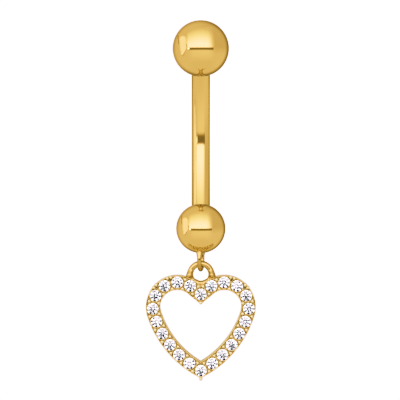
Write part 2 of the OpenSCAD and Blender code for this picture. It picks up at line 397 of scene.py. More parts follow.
def gold(name, colours, rough, scales, bump, edge=EDGE_TINT, way=None, painted_shade=None, twice=MIRRORED_GOLD):
    """A metal shader whose colours (a bright and a deep one), roughness (base and spread) and
    bump in millimetres come from the polish marks at two scales, a fine and a broad one. Edge
    tints what it mirrors at a grazing angle. A way changes the coordinates, and the optional
    mask marks where a darker gold is painted as shade in the recesses. Twice is the colour
    that mirrored rays meet."""
    material, net, shader = new_material(name)
    place = net.add("TexCoord").outputs["Object"]
    values = {"Vector": place if way is None else way(net, place)}
    values.update(zip(NUMBERS, scales + rough))
    values.update({"Bright Colour": colours[0], "Deep Colour": colours[1]})
    marks = net.add("Group", values, node_tree=POLISH).outputs
    colour = marks["Colour"]
    if painted_shade is not None:
        colour = net.mix(painted_shade(net), colour, CREVICE_SHADE_GOLD, "RGBA")
    mirrored = net.add("LightPath").outputs["Is Glossy Ray"]
    bumps = net.add("Bump", {"Strength": 1.0, "Distance": bump * MM, "Height": marks["Height"]})
    shader["Metallic"].default_value = 1.0
    shader["Specular Tint"].default_value = edge
    net.put(net.mix(mirrored, colour, twice, "RGBA"), shader["Base Color"])
    net.put(marks["Roughness"], shader["Roughness"])
    net.put(bumps.outputs["Normal"], shader["Normal"])
    return material


def shade_between_the_stones(net):
    """1 where a darker gold is painted as shade: metal that faces the front but lies deep, the seats and
    the floor round the beads.
    """
    place = net.add("TexCoord").outputs
    y = net.add("SeparateXYZ", {"Vector": place["Object"]}).outputs["Y"]
    facing = net.add("SeparateXYZ", {"Vector": place["Normal"]}).outputs["Y"]
    low, high = (HEART_Y - CREVICE_TOP) * MM, (HEART_Y - CREVICE_FOOT) * MM
    return net.times(net.ramp(y, low, high), net.ramp(facing, *CREVICE_FACING))


def along_the_wire(net, place):
    """Straightens the bend: X, the distance from the bend's centre, and a short arc length."""
    parts = net.add("SeparateXYZ", {"Vector": place}).outputs
    ahead = net.math("ADD", parts["Y"], BEND_R * MM)
    angle = net.math("ARCTAN2", parts["Z"], ahead)
    squares = net.times(ahead, ahead), net.times(parts["Z"], parts["Z"])
    out = net.math("SQRT", net.math("ADD", *squares))
    along = net.times(angle, LINE_STRETCH * BEND_R * MM)
    return net.add("CombineXYZ", {"X": parts["X"], "Y": out, "Z": along}).outputs["Vector"]


BUFFED, CAST, BURNISHED = (0.05, 0.05), (0.08, 0.08), (0.03, 0.04)
ball_gold = gold("buffed_ball_gold", BALL_GOLD, BUFFED, (6000, 500), 0.0004)
bar_gold = gold("drawn_bar_gold", BALL_GOLD, BUFFED, (16000, 1200), 0.005, BAR_EDGE_SHADE_TINT, along_the_wire)
wire_gold = gold("wire_gold_painted_darker", WIRE_GOLD_PAINTED_DARKER, CAST, (9000, 2500), 0.002)
bead_gold = gold("burnished_bead_gold_painted_lighter", BEAD_GOLD_PAINTED_LIGHTER, BURNISHED, (9000, 1500), 0.0005)
set_gold = gold(
    "cast_gold_round_the_stones", CAST_GOLD, CAST, (9000, 1500), 0.001,
    painted_shade=shade_between_the_stones, twice=MIRRORED_HEART,
)
print("gold materials:", [m.name for m in (ball_gold, bar_gold, wire_gold, bead_gold, set_gold)])

# %% [markdown]
# The top ball is a body of revolution: a sphere, a small flat that seats on the bar,
# and a bore with a thread. The thread is one formula. Its radius goes up and down
# once per pitch, and the phase turns with the angle, which makes a helix.
# %% Top ball
THREAD_PITCH = 0.3
THREAD_DEPTH = 0.06
FLAT_REACH = ball_reach(TOP_BALL_D)
FLAT_ROUNDING = 0.8
BORE_R = PIN_D / 2 + PIN_CLEARANCE
BORE_DEPTH = SEAT_GAP + PIN_LENGTH + BORE_RELIEF
SOFT_EDGE = 0.03


def thread_wave(height, steps, ends):
    """0 to 1 and back once per pitch, turning with the angle, and fading out at the ends."""
    turns = height / THREAD_PITCH - full_turn(steps) / (2 * math.pi)
    wave = np.abs(2 * (turns - np.floor(turns)) - 1)
    fade = np.minimum(height - ends[0], ends[1] - height) / THREAD_PITCH
    return wave * np.clip(fade, 0, 1)


def top_ball_grid(steps=128):
    """The profile from the outer pole round the ball, over the flat and down into the bore."""
    radius = TOP_BALL_D / 2
    edge = math.degrees(math.acos(-FLAT_REACH / radius))
    polar = arc(0, edge - FLAT_ROUNDING, 96)
    outer = np.stack([radius * np.sin(polar), radius * np.cos(polar)])
    flat_r = [BAR_D / 2 + SEAT_MARGIN - SOFT_EDGE, BORE_R + 2 * SOFT_EDGE]
    flat = np.array([flat_r, [-FLAT_REACH] * 2])
    depth = np.linspace(2 * SOFT_EDGE, BORE_DEPTH, 120)
    bore = np.stack([BORE_R + 0 * depth, depth - FLAT_REACH])
    end = np.array([[0.0], [BORE_DEPTH - FLAT_REACH + BORE_R / 2]])
    profile = np.concatenate([outer, flat, bore, end], axis=1)
    rings = np.broadcast_to(profile[0], (steps + 1, profile.shape[1])).copy()
    first = outer.shape[1] + flat.shape[1]
    wave = thread_wave(depth, steps, (depth[0], depth[-1]))
    rings[:, first : first + len(depth)] += THREAD_DEPTH * wave
    return turned(revolve(rings, profile[1], steps), 0, TOP_ANGLE) + TOP_CENTRE


top_ball = make_piece("top_ball_shell", [top_ball_grid()], ball_gold, "top_ball", 35)
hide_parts("top_ball")

# %% [markdown]
# The bar is a round tube of constant bend, so it is a circle carried along an arc.
# Its top end is a flat shoulder with a softened edge, and a threaded pin stands on
# it. Only the pose with the ball unscrewed shows the pin, yet it is what the ball
# is held by.
# %% Bar and threaded pin
def bar_grid(steps=96):
    """A circle carried along the arc from inside the lower ball to the shoulder."""
    along = np.linspace(-BOTTOM_ANGLE, TOP_ANGLE, 121)
    edge = arc(0, 90, 6)[1:]
    shoulder = BAR_D / 2 - SOFT_EDGE * (1 - np.cos(edge))
    radius = np.concatenate([[0], BAR_D / 2 + 0 * along, shoulder, [0]])
    last = TOP_ANGLE + SOFT_EDGE / BEND_R * (np.sin(edge) - 1)
    angle = np.concatenate([[-BOTTOM_ANGLE], along - SOFT_EDGE / BEND_R, last, [TOP_ANGLE]])
    turn = full_turn(steps)
    bend = on_circle(BEND_R + radius * np.cos(turn), angle) - (BEND_R, 0)
    return np.dstack([radius * np.sin(turn), bend])


def pin_grid(steps=64):
    """A plain neck, a thread cut into the pin, and a tip with its edge taken off."""
    root = BAR_D / 2
    length = np.linspace(0, PIN_LENGTH - 2 * SOFT_EDGE, 110)
    wave = thread_wave(length, steps, (THREAD_PITCH, PIN_LENGTH + THREAD_PITCH))
    neck = np.clip((length - THREAD_PITCH) / SOFT_EDGE, 0, 1)
    body = PIN_D / 2 - THREAD_DEPTH * np.where(length < THREAD_PITCH, 1 - neck, wave)
    neck_r, tip_r = PIN_D / 2 - THREAD_DEPTH, PIN_D / 2 - 2 * SOFT_EDGE
    one = np.ones((steps + 1, 1))
    rings = np.concatenate([0 * one, neck_r * one, body, tip_r * one, 0 * one], axis=1)
    height = np.concatenate([[-root, -root], length, [PIN_LENGTH, PIN_LENGTH]]) - TOP_REACH
    return turned(revolve(rings, height, steps), 0, TOP_ANGLE) + TOP_CENTRE


bar = make_piece("bent_bar", [bar_grid()], bar_gold, "barbell", 50)
pin = make_piece("threaded_pin", [pin_grid()[:, ::-1]], bar_gold, "barbell", 50)
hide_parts("barbell")
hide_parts("barbell")

# %% [markdown]
# The lower ball is soldered to the bar, and the loop is soldered into the ball. A
# solder joint is never a sharp corner: the metal runs up the wire and thins out. So
# the loop's wire grows thicker as it nears the ball.
# %% Lower ball and soldered loop
SOLDER_FLARE = 0.11
SOLDER_RUN = 0.3


def lower_ball_grid(steps=128):
    """A sphere with its poles on the bar's line."""
    radius, polar = BOTTOM_BALL_D / 2, arc(0, 180, 96)
    grid = revolve(radius * np.sin(polar), radius * np.cos(polar), steps)
    return turned(grid, 0, math.pi - BOTTOM_ANGLE) + BOTTOM_CENTRE


def loop_grid():
    """A wire round a circle in the YZ plane: (w sin t, (R + w cos t) cos a, (R + w cos t)
    sin a). Its radius w grows by a fillet where its middle comes near the ball."""
    angle, turn = full_turn(160), full_turn(40).T
    middle_y, middle_z = LOOP_R * np.cos(angle), LOOP_R * np.sin(angle) + LOOP_Z
    away = np.hypot(middle_y, middle_z - BOTTOM_Z) - BOTTOM_BALL_D / 2
    wire = LOOP_WIRE_D / 2 + SOLDER_FLARE * np.exp(-((np.maximum(away, 0) / SOLDER_RUN) ** 2))
    grid = np.dstack([wire * np.sin(turn), on_circle(LOOP_R + wire * np.cos(turn), angle)])
    return turned(grid[::-1], 2, LOOP_TURN) + (0, HEART_Y, LOOP_Z)


lower_ball = make_piece("lower_ball_shell", [lower_ball_grid()], ball_gold, "barbell")
loop = make_piece("soldered_loop", [loop_grid()], wire_gold, "barbell")
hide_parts("barbell")
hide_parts("barbell")

# %% [markdown]
# The heart follows the line through its stones. Each half of the line is a straight
# run up from the notch, the arc of the lobe, and the long arc of the side, which
# runs into the lobe without a corner. All that is beside the line, such as the
# outline, the hole's edge and the beads, is found from it.
# %% The line of stones
LOBE_X = 2.09
LOBE_R = 2.2
NOTCH_SLOPE = math.radians(39.5)
SIDE_R = 8.75
LINE_H = 6.82
RIM_OUT = 0.6
RIM_IN = 0.68
HEART_T = 1.3
STONE_D = 1.1
STONE_GAP = 0.02
GIRDLE_DROP = 0.12
BAIL_TO_STONE = 0.28
SPACES = 11

NOTCH_Z = PIVOT_Z - 2 * BAIL_R - BAIL_TO_STONE - STONE_D / 2
TIP_Z = NOTCH_Z - LINE_H
LOBE_START = math.pi / 2 + NOTCH_SLOPE
RUN_L = (LOBE_X + LOBE_R * math.cos(LOBE_START)) / math.cos(NOTCH_SLOPE)
RUN_WAY = np.array([math.cos(NOTCH_SLOPE), math.sin(NOTCH_SLOPE)])
RUN_OUT = np.array([-math.sin(NOTCH_SLOPE), math.cos(NOTCH_SLOPE)])
NOTCH = np.array([0, NOTCH_Z])
LOBE_C = np.array([LOBE_X, NOTCH_Z + RUN_L * RUN_WAY[1] - LOBE_R * math.sin(LOBE_START)])


def side_circle():
    """The centre of the side's arc, which touches the lobe inside and passes the tip."""
    to_tip = np.array([0, TIP_Z]) - LOBE_C
    length = np.hypot(*to_tip)
    along = ((SIDE_R - LOBE_R) ** 2 - SIDE_R**2 + length**2) / (2 * length)
    across = math.sqrt((SIDE_R - LOBE_R) ** 2 - along**2)
    return LOBE_C + (along * to_tip + across * np.array([to_tip[1], -to_tip[0]])) / length


SIDE_C = side_circle()
LOBE_END = math.atan2(LOBE_C[1] - SIDE_C[1], LOBE_C[0] - SIDE_C[0])
LOBE_L = LOBE_R * (LOBE_START - LOBE_END)


def tip_place(beside):
    """The place along the line where the curve at that distance beside it meets the middle."""
    return RUN_L + LOBE_L + SIDE_R * (LOBE_END + math.acos(-SIDE_C[0] / (SIDE_R + beside)))


PITCH = tip_place(0) / SPACES


def beside_line(along, beside):
    """The point at a distance along the line and a distance outside it."""
    along, beside = np.broadcast_arrays(np.asarray(along, float), np.asarray(beside, float))
    lobe_a = LOBE_START - (along - RUN_L) / LOBE_R
    side_a = LOBE_END - (along - RUN_L - LOBE_L) / SIDE_R
    run = NOTCH + along[..., None] * RUN_WAY + beside[..., None] * RUN_OUT
    lobe = LOBE_C + on_circle(LOBE_R + beside, lobe_a)
    side = SIDE_C + on_circle(SIDE_R + beside, side_a)
    on_lobe = ((along >= RUN_L) & (along < RUN_L + LOBE_L))[..., None]
    on_side = (along >= RUN_L + LOBE_L)[..., None]
    return np.where(on_side, side, np.where(on_lobe, lobe, run))


def seen_from(centre, point):
    """A point's distance and angle as seen from a centre."""
    x, z = point[..., 0] - centre[0], point[..., 1] - centre[1]
    return np.hypot(x, z), np.arctan2(z, x)


def line_place(point):
    """A point's place along the line and its distance outside it, for points near the line."""
    (lobe_d, lobe_a), (side_d, side_a) = seen_from(LOBE_C, point), seen_from(SIDE_C, point)
    before, after = lobe_a > LOBE_START, lobe_a < LOBE_END
    lobe = RUN_L + LOBE_R * (LOBE_START - lobe_a)
    side = RUN_L + LOBE_L + SIDE_R * (LOBE_END - side_a)
    along = np.where(before, (point - NOTCH) @ RUN_WAY, np.where(after, side, lobe))
    round_d = np.where(after, side_d - SIDE_R, lobe_d - LOBE_R)
    return along, np.where(before, (point - NOTCH) @ RUN_OUT, round_d)


STONES = beside_line(np.arange(SPACES + 1) * PITCH, 0)
print("stones on the right half:", len(STONES), "with a pitch of", round(PITCH, 3), "mm")

# %% [markdown]
# Between neighbouring stones runs the gap line, which is as far from one as from the
# other. It cuts the heart's band into cells with one stone each. On a gap line the
# bright cuts of both stones have the same depth, so cells that are made one by one
# still fit together.
# %% Gap lines and cells
EDGE = 0.025
HALVINGS = 50
STEP = STONES[1:] - STONES[:-1]
STEP_L = np.hypot(*STEP.T)
GAP_MIDDLE = (STONES[:-1] + STONES[1:]) / 2
GAP_RUN = STEP / STEP_L[:, None]
GAP_OUT = np.stack([-GAP_RUN[:, 1], GAP_RUN[:, 0]], axis=-1)
GAP_HALF = STEP_L / 2


def gap_end(beside):
    """Where each gap line reaches that distance beside the line, halving the error each time."""
    near, far = np.zeros(SPACES), np.full(SPACES, 2 * beside)
    for _ in range(HALVINGS):
        middle = (near + far) / 2
        reached = np.abs(line_place(GAP_MIDDLE + middle[:, None] * GAP_OUT)[1]) < abs(beside)
        near, far = np.where(reached, middle, near), np.where(reached, far, middle)
    return GAP_MIDDLE + near[:, None] * GAP_OUT


OUTER, INNER = RIM_OUT - EDGE, -(RIM_IN - EDGE)
GAP_OUTER, GAP_INNER = gap_end(OUTER), gap_end(INNER)
OUTER_PLACE, INNER_PLACE = line_place(GAP_OUTER)[0], line_place(GAP_INNER)[0]
print("gap lines on the right half:", len(GAP_OUTER))


def stretch(cell, beside, gap_places, count):
    """The points of one cell's stretch of a curve beside the line."""
    start = beside * math.tan(NOTCH_SLOPE) if cell == 0 else gap_places[cell - 1]
    end = tip_place(beside) if cell == SPACES else gap_places[cell]
    return beside_line(np.linspace(start, end, count + 1), beside)


def cell_border(cell, count=16):
    """The cell's border as points in order: up its first gap line, along the outside, down
    the second gap line and back along the inside. Cells at the middle line stay open there."""
    share = np.linspace(0, 1, count + 1)[:, None]
    sides = []
    if cell > 0:
        sides.append(GAP_INNER[cell - 1] * (1 - share) + GAP_OUTER[cell - 1] * share)
    sides.append(stretch(cell, OUTER, OUTER_PLACE, count))
    if cell < SPACES:
        sides.append(GAP_OUTER[cell] * (1 - share) + GAP_INNER[cell] * share)
    inner = stretch(cell, INNER, INNER_PLACE, count)[::-1]
    return np.concatenate([inner] + sides if cell == SPACES else sides + [inner])


# %% [markdown]
# A cell is one grid. It starts at the border on the back, runs inwards to the light
# hole, through the hole, over the cone on which the stone rests, up past the girdle
# and out to the border on the front. Round each stone the setter has pushed a thin
# collar over the girdle. Between the collars the metal lies deep, and a rail is left
# along each edge. Circles stay true circles, because the rows of the grid are circles.
# %% The cells' surface
LIGHT_HOLE_D = 0.6
PAVILION_SHARE = 0.43
GIRDLE_SHARE = 0.03
SEAT_R = STONE_D / 2 + STONE_GAP
FRONT = HEART_T / 2
GIRDLE_Y = FRONT - GIRDLE_DROP
SEAT_FOOT = GIRDLE_Y - GIRDLE_SHARE * STONE_D
BEARING_H = (SEAT_R - LIGHT_HOLE_D / 2) * 2 * PAVILION_SHARE
HOLE_EDGE = 0.04
RECESS = 0.15
RAIL = 0.1
RAIL_SLOPE = 0.05
LIP_R = STONE_D / 2 - 0.05
LIP_RISE = 0.06
CREST_R = STONE_D / 2 - 0.01
CREST_RISE = 0.085
COLLAR_W = 0.07
FRONT_ROWS = 17
CLOSER_INSIDE = 1.5


def heart_point(flat, height):
    """A point of the heart's plane, at a height towards the viewer, as X, Y and Z."""
    return np.stack([flat[..., 0], HEART_Y - height, flat[..., 1]], axis=-1)


def step_up(value, start, end):
    """0 before start and 1 after end. Between them, with t as the share: 3 t^2 - 2 t^3."""
    share = np.clip((value - start) / (end - start), 0, 1)
    return share * share * (3 - 2 * share)


def front_height(distance, beside):
    """The front's height: a collar round the stone, low between the collars, and rising by a
    bright cut of 45 degrees to the full height of the rail along each edge."""
    outer_rail = step_up(beside, OUTER - RAIL, OUTER - RAIL + RAIL_SLOPE)
    inner_rail = step_up(beside, INNER + RAIL, INNER + RAIL - RAIL_SLOPE)
    floor = FRONT - RECESS
    rail = floor + RECESS * np.maximum(outer_rail, inner_rail)
    crest = GIRDLE_Y + CREST_RISE
    inside = np.clip((CREST_R - distance) / (CREST_R - LIP_R), 0, 1)
    collar = crest - (CREST_RISE - LIP_RISE) * inside**2
    collar = collar - (crest - floor) * step_up(distance, CREST_R, CREST_R + COLLAR_W)
    return np.maximum(collar, np.minimum(rail, crest + distance - CREST_R))


def cell_grid(cell):
    """Rows from the back border through the hole to the front border, columns round the stone."""
    border, centre = cell_border(cell), STONES[cell]
    reach = np.hypot(*(border - centre).T)[:, None]
    way = (border - centre) / reach
    hole = LIGHT_HOLE_D / 2
    one = np.ones_like(reach)
    back_r = reach + (hole + HOLE_EDGE - reach) * np.linspace(0, 1, 5)
    back_h = -FRONT + 0 * back_r
    hole_r = hole * np.ones(4) * one
    hole_h = np.linspace(-FRONT + HOLE_EDGE, SEAT_FOOT - BEARING_H, 4) * one
    rise = np.array([1, 2, 3]) / 3
    seat_r = np.append(hole + (SEAT_R - hole) * rise, SEAT_R) * one
    seat_h = np.append(SEAT_FOOT - BEARING_H * (1 - rise), GIRDLE_Y + LIP_RISE / 2) * one
    front_r = LIP_R + (reach - LIP_R) * np.linspace(0, 1, FRONT_ROWS) ** CLOSER_INSIDE
    front_flat = centre + front_r[..., None] * way[:, None]
    front_h = front_height(front_r, line_place(front_flat)[1])
    radius = np.concatenate([back_r, hole_r, seat_r, front_r], axis=1)
    height = np.concatenate([back_h, hole_h, seat_h, front_h], axis=1)
    return heart_point(centre + radius[..., None] * way[:, None], height)


def wall_grid(cell, beside, edge, gap_places, count=16):
    """The wall from the front border to the back one, with both edges rounded."""
    turn = arc(0, 90, 4)
    wall = np.linspace(0, 1, 5)[1:-1]
    out = np.concatenate([np.sin(turn), 1 + 0 * wall, np.sin(turn[::-1])])
    start = stretch(cell, beside, gap_places, count)
    front = front_height(np.hypot(*(start - STONES[cell]).T), beside)
    round_off = EDGE * (1 - np.cos(turn))
    heights = [front - drop for drop in round_off]
    heights += [(front - EDGE) * (1 - share) + (EDGE - FRONT) * share for share in wall]
    heights += [-FRONT + drop + 0 * front for drop in round_off[::-1]]
    rows = []
    for share, height in zip(out, heights):
        rows.append(heart_point(stretch(cell, beside + edge * share, gap_places, count), height))
    return np.stack(rows)


half = []
for cell in range(SPACES + 1):
    half.append(cell_grid(cell))
    half.append(wall_grid(cell, OUTER, EDGE, OUTER_PLACE))
    half.append(wall_grid(cell, INNER, -EDGE, INNER_PLACE)[:, ::-1])
mirrored = [grid[:, ::-1] * (-1, 1, 1) for grid in half]
heart = make_piece("heart_band", half + mirrored, set_gold, "heart", 30)
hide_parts("heart_frame")

# %% [markdown]
# The bail is a ring cast in one with the heart. Where it meets the band the wax
# model has a soft fillet, so the wire grows towards the shoulders of the heart until
# it is flush with the band. Inside the band it is thin, so that it stays clear of the
# seats and the light holes. Each pair of heights, from -1 at the ring's foot to 1 at
# its top, is where such a change starts and ends.
# %% Bail
BAIL_Z = PIVOT_Z - BAIL_R
BAIL_CROWN = 0.045
BAIL_FLARE, FLARE_STARTS, FLARE_STOPS = 0.12, (0.45, -0.15), (-0.38, -0.20)
BAIL_TUCK, TUCK_STARTS = 0.2, (-0.34, -0.46)
BAIL_SILL, SILL_STARTS = 0.1, (-0.45, -0.90)
BAIL_SWELL, SWELL_STARTS, SWELL_STOPS = 0.7, (0.5, 0.0), (-0.38, -0.04)


def bail_grid():
    """A wire round a circle in the heart's plane. It is thicker on its outer side, most of all
    where it enters the band, and on its inner side at the foot."""
    angle, turn = full_turn(128), full_turn(40).T
    high = np.sin(angle)
    outside, inside = (1 + np.cos(turn)) / 2, (1 - np.cos(turn)) / 2
    entry = step_up(high, *FLARE_STARTS) ** 2 * step_up(high, *FLARE_STOPS)
    growth = BAIL_CROWN + BAIL_FLARE * entry - BAIL_TUCK * step_up(high, *TUCK_STARTS)
    wire = BAIL_WIRE_D / 2 + growth * outside**2
    wire = wire + BAIL_SILL * step_up(high, *SILL_STARTS) * inside
    flat = on_circle(BAIL_R + wire * np.cos(turn), angle) + (0, BAIL_Z)
    swell = BAIL_SWELL * step_up(high, *SWELL_STARTS) * step_up(high, *SWELL_STOPS)
    return heart_point(flat, wire * np.sin(turn) * (1 + swell))[::-1]


bail = make_piece("bail", [bail_grid()], wire_gold, "heart")
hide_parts("heart_frame")

# %% [markdown]
# The beads hold the stones. A setter raises a spur of metal in each corner between
# the stones and rounds it with a beading tool. Here each bead is a short post with a
# dome. One stands inside each gap. Outside it there is one too, or two where the
# lobe's shoulder opens the gap.
# %% Beads
PRONG_D = 0.28
PRONG_RISE = 0.1
BEAD_D = 0.31
PRONG_FOOT = 0.4
PRONG_WALL = 0.025
PAIRED_ANGLE = math.radians(54)
SHOULDER = (30, 90)
PRONG_REACH = SEAT_R + PRONG_WALL + PRONG_D / 2
TIP_FILL = 0.02
TIP_FOOT = 0.15


def bead_places():
    """Places of all beads in the heart's plane, right half first, then its mirror image."""
    rise = np.degrees(seen_from(LOBE_C, GAP_MIDDLE)[1])
    shoulder = (rise > SHOULDER[0]) & (rise < SHOULDER[1])
    shared = np.sqrt(PRONG_REACH**2 - GAP_HALF**2)[:, None]
    step = (GAP_HALF - PRONG_REACH * math.cos(PAIRED_ANGLE))[:, None]
    out = PRONG_REACH * math.sin(PAIRED_ANGLE)
    inside = GAP_MIDDLE - shared * GAP_OUT
    outside = (GAP_MIDDLE + shared * GAP_OUT)[~shoulder]
    first = (GAP_MIDDLE + step * GAP_RUN + out * GAP_OUT)[shoulder]
    second = (GAP_MIDDLE - step * GAP_RUN + out * GAP_OUT)[shoulder]
    right = np.concatenate([inside, outside, first, second])
    middle = np.array([[0, NOTCH_Z - PRONG_REACH], [0, TIP_Z - PRONG_REACH]])
    return np.concatenate([right, right * (-1, 1), middle])


def bead_grid(place, radius=BEAD_D / 2, rise=PRONG_RISE, foot=PRONG_FOOT, steps=20):
    """A post with a dome on it, closed below, with its axis towards the viewer."""
    polar = arc(0, 90, 8)
    ring_r = np.concatenate([radius * np.sin(polar), [radius, 0]])
    top = FRONT + rise - radius
    ring_h = np.concatenate([top + radius * np.cos(polar), [FRONT - foot] * 2])
    flat = place + on_circle(ring_r, full_turn(steps))
    return heart_point(flat, np.broadcast_to(ring_h, flat.shape[:2]))


places = bead_places()
domes = [bead_grid(place) for place in places]
domes.append(bead_grid((0, TIP_Z - PRONG_REACH + TIP_FILL), rise=0.0, foot=HEART_T - TIP_FOOT))
beads = make_piece("beads", domes, bead_gold, "heart", 60)
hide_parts("heart_frame")
print("beads:", len(places))

# %% [markdown]
# The stones are round brilliants: a table, eight stars, eight kites and sixteen upper
# girdle facets above, and sixteen lower girdle facets and eight mains below. Each
# kite lies in one plane through its corner of the table and its point of the girdle,
# and that sets the height of the stars' tips.
# %% Brilliant
TABLE_SHARE = 0.57
CROWN_SHARE = 0.155
LOWER_SHARE = 0.23
STAR_SHARE = 0.5


def facet_ring(count, offset, radius, height):
    """Corners of a ring of facets: count points from an offset in eighths of a turn."""
    angle = (np.arange(count) * 8 / count + offset) * math.pi / 4
    return np.column_stack([on_circle(radius, angle), height + 0 * angle])


def brilliant_points():
    """Table, stars' tips, upper and lower girdle, lower tips and culet, one after another."""
    r = STONE_D / 2
    table_r, half_step = r * TABLE_SHARE, math.cos(math.pi / 8)
    crown, belt, pavilion = CROWN_SHARE * STONE_D, GIRDLE_SHARE * STONE_D, PAVILION_SHARE * STONE_D
    star_r = table_r * half_step + STAR_SHARE * (r - table_r * half_step)
    star_h = crown * (r - star_r * half_step) / (r - table_r)
    low_r = LOWER_SHARE * r
    low_h = -belt - pavilion * (1 - low_r * half_step / r)
    rings = [facet_ring(8, 0, table_r, crown), facet_ring(8, 0.5, star_r, star_h)]
    rings += [facet_ring(16, 0, r, 0), facet_ring(16, 0, r, -belt), facet_ring(8, 0.5, low_r, low_h)]
    return np.concatenate(rings + [np.array([[0, 0, -belt - pavilion]])])


def brilliant_faces():
    """Corner numbers of the 73 facets, each listed so that it faces outwards."""
    table, star, top, base, low, culet = 0, 8, 16, 32, 48, 56
    faces = [list(range(8))]
    for k in range(8):
        after, before = (k + 1) % 8, (k - 1) % 8
        even, odd, end = 2 * k, 2 * k + 1, (2 * k + 2) % 16
        faces += [[table + k, star + k, table + after]]
        faces += [[table + k, star + before, top + even, star + k]]
        faces += [[star + k, top + even, top + odd], [star + k, top + odd, top + end]]
        faces += [[top + even, base + even, base + odd, top + odd]]
        faces += [[top + odd, base + odd, base + end, top + end]]
        faces += [[low + k, base + odd, base + even], [low + k, base + end, base + odd]]
        faces += [[culet, low + k, base + even, low + before]]
    return faces


print("a stone has", len(brilliant_points()), "corners and", len(brilliant_faces()), "facets")

# %% [markdown]
# A cubic zirconia bends light nearly as much as a diamond, and that is what makes
# bright and dark facets. The shader is plain glass with that index, and the facets
# do the rest. A slow change of tint keeps the stones from being all alike. A setter
# never gets 22 small stones to sit exactly alike either, so each is turned and
# tipped by its own few degrees, and each flashes in another way.
# %% Stones
STONE_INDEX = 2.16
STONE_PINK, STONE_BLUE = (1.0, 0.975, 1.0, 1), (0.965, 0.985, 1.0, 1)
TINT_SCALE = 500.0
MOST_ROUGH = 0.01
STONE_TURN = math.radians(17)
STONE_TIP = math.radians(5.5)


def stone_material():
    """Clear glass of a high index with a trace of tint."""
    material, net, shader = new_material("clear_stone")
    shader["Transmission Weight"].default_value = 1.0
    shader["IOR"].default_value = STONE_INDEX
    shader["Metallic"].default_value = 0.0
    place = net.add("TexCoord").outputs["Object"]
    drift = net.add("TexNoise", {"Vector": place, "Scale": TINT_SCALE}).outputs["Fac"]
    net.put(net.mix(drift, STONE_PINK, STONE_BLUE, "RGBA"), shader["Base Color"])
    net.put(net.ramp(drift, 0, 1, 0, MOST_ROUGH, "LINEAR"), shader["Roughness"])
    return material


def make_stone(name, place, turn, tips, material):
    """One brilliant in its seat, with flat facets."""
    points = turned(turned(turned(brilliant_points(), 2, turn), 0, tips[0]), 1, tips[1])
    points = heart_point(place + points[:, :2], GIRDLE_Y + points[:, 2])
    stone = add_mesh(name, points, brilliant_faces(), material)
    stone.data.shade_flat()
    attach(stone, "heart")
    return stone


clear_stone = stone_material()
chance = np.random.default_rng(7)
all_places = np.concatenate([STONES, STONES[SPACES - 1 : 0 : -1] * (-1, 1)])
off = []
for number, place in enumerate(all_places):
    tips = chance.uniform(-STONE_TIP, STONE_TIP, 2)
    stone = make_stone(f"brilliant_{number + 1:02d}", place, number * STONE_TURN, tips, clear_stone)
    node = f"stone_{number + 1:02d}"
    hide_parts(node)
    low, high = node_box(node)
    off.append(float(np.abs((low + high)[[0, 2]] / 2 - place).max()))
print("stones:", len(off), "off their nodes by at most", round(max(off), 4), "mm")

# %% [markdown]
# The floor is a plain pale disc under the ring. The camera sees it lit to white, as
# a white table is in a catalogue picture. Other rays pass through it to the light
# tent, which lights the metal softly from below.
# %% Floor
FLOOR_DROP = 14.0
FLOOR_R = 300.0
FLOOR_T = 4.0
FLOOR_EDGE = 1.0
FLOOR_LIGHT = 1.75


def floor_material():
    """Lit white for the camera, and clear for all other rays."""
    material, net, _ = new_material("pale_floor")
    glow = net.add("Emission", {"Strength": FLOOR_LIGHT}).outputs["Emission"]
    clear = net.add("BsdfTransparent").outputs["BSDF"]
    seen = net.add("LightPath").outputs["Is Camera Ray"]
    mix = net.add("MixShader", {0: seen, 1: clear, 2: glow}).outputs["Shader"]
    net.put(mix, net.nodes["Material Output"].inputs["Surface"])
    return material


def make_floor(top):
    """A thick disc: out along its top, down its softened edge and back below. It isn't part
    of the ring, so it rides on nothing."""
    radius = np.array([0.0, FLOOR_R - FLOOR_EDGE, FLOOR_R, FLOOR_R, 0.0])
    grid = revolve(radius, top - np.array([0.0, 0.0, FLOOR_EDGE, FLOOR_T, FLOOR_T]))
    faces = grid_faces(*grid.shape[:2], 0).tolist()
    floor = add_mesh("floor", grid.reshape(-1, 3), faces, floor_material())
    merge_seams(floor.data)
    return floor


floor_top = cad_box[0][2] / MM - FLOOR_DROP
floor = make_floor(floor_top)
print("floor at", round(floor_top, 1), "mm")

# %% [markdown]
# Polished metal looks like what is around it. The picture was taken in a tent of
# white cloth: a wide soft box above the camera, a narrow one at the left, and a slit
# in front for the lens, which is the dark line across each ball. A small lamp stands
# at the slit's left end. The surroundings are drawn in mirror-ball coordinates: a
# direction's place on the mirror ball is the middle between that direction and the
# way to the front, so across and up run from -1 to 1. A straight line on the ball is
# enough to draw strips, seams and the round lens.
# %% Lines on the mirror ball
def seam(net, spot, start, end, half):
    """1 near the straight line from start to end: t = clamp((p - a) . b / b . b), |p - a - t b|."""
    start, run = np.array(start), np.array(end) - np.array(start)
    way = run / (run @ run)
    shift = net.vector("SUBTRACT", spot, (start[0], 0, start[1]))
    share = net.vector("DOT_PRODUCT", shift, (way[0], 0, way[1]))
    share = net.math("MAXIMUM", net.math("MINIMUM", share, 1.0), 0.0)
    off = net.vector("DISTANCE", shift, net.vector("MULTIPLY", share, (run[0], 0, run[1])))
    return net.ramp(off, half * 1.4, half * 0.6)


def mirror_ball(net):
    """The direction's place on the mirror ball: (direction - front) made one long."""
    place = net.add("TexCoord").outputs["Generated"]
    unit = net.vector("NORMALIZE", net.vector("SUBTRACT", place, (0, 1, 0)))
    flat = net.vector("MULTIPLY", unit, (1, 0, 1))
    return flat, net.add("SeparateXYZ", {"Vector": unit}).outputs


world = bpy.data.worlds.new("light_tent")
bpy.context.scene.world = world
world.use_nodes = True
world.node_tree.nodes.clear()
tent = Net(world.node_tree)
spot, sides = mirror_ball(tent)
print("nodes that find the place on the mirror ball:", len(tent.nodes))

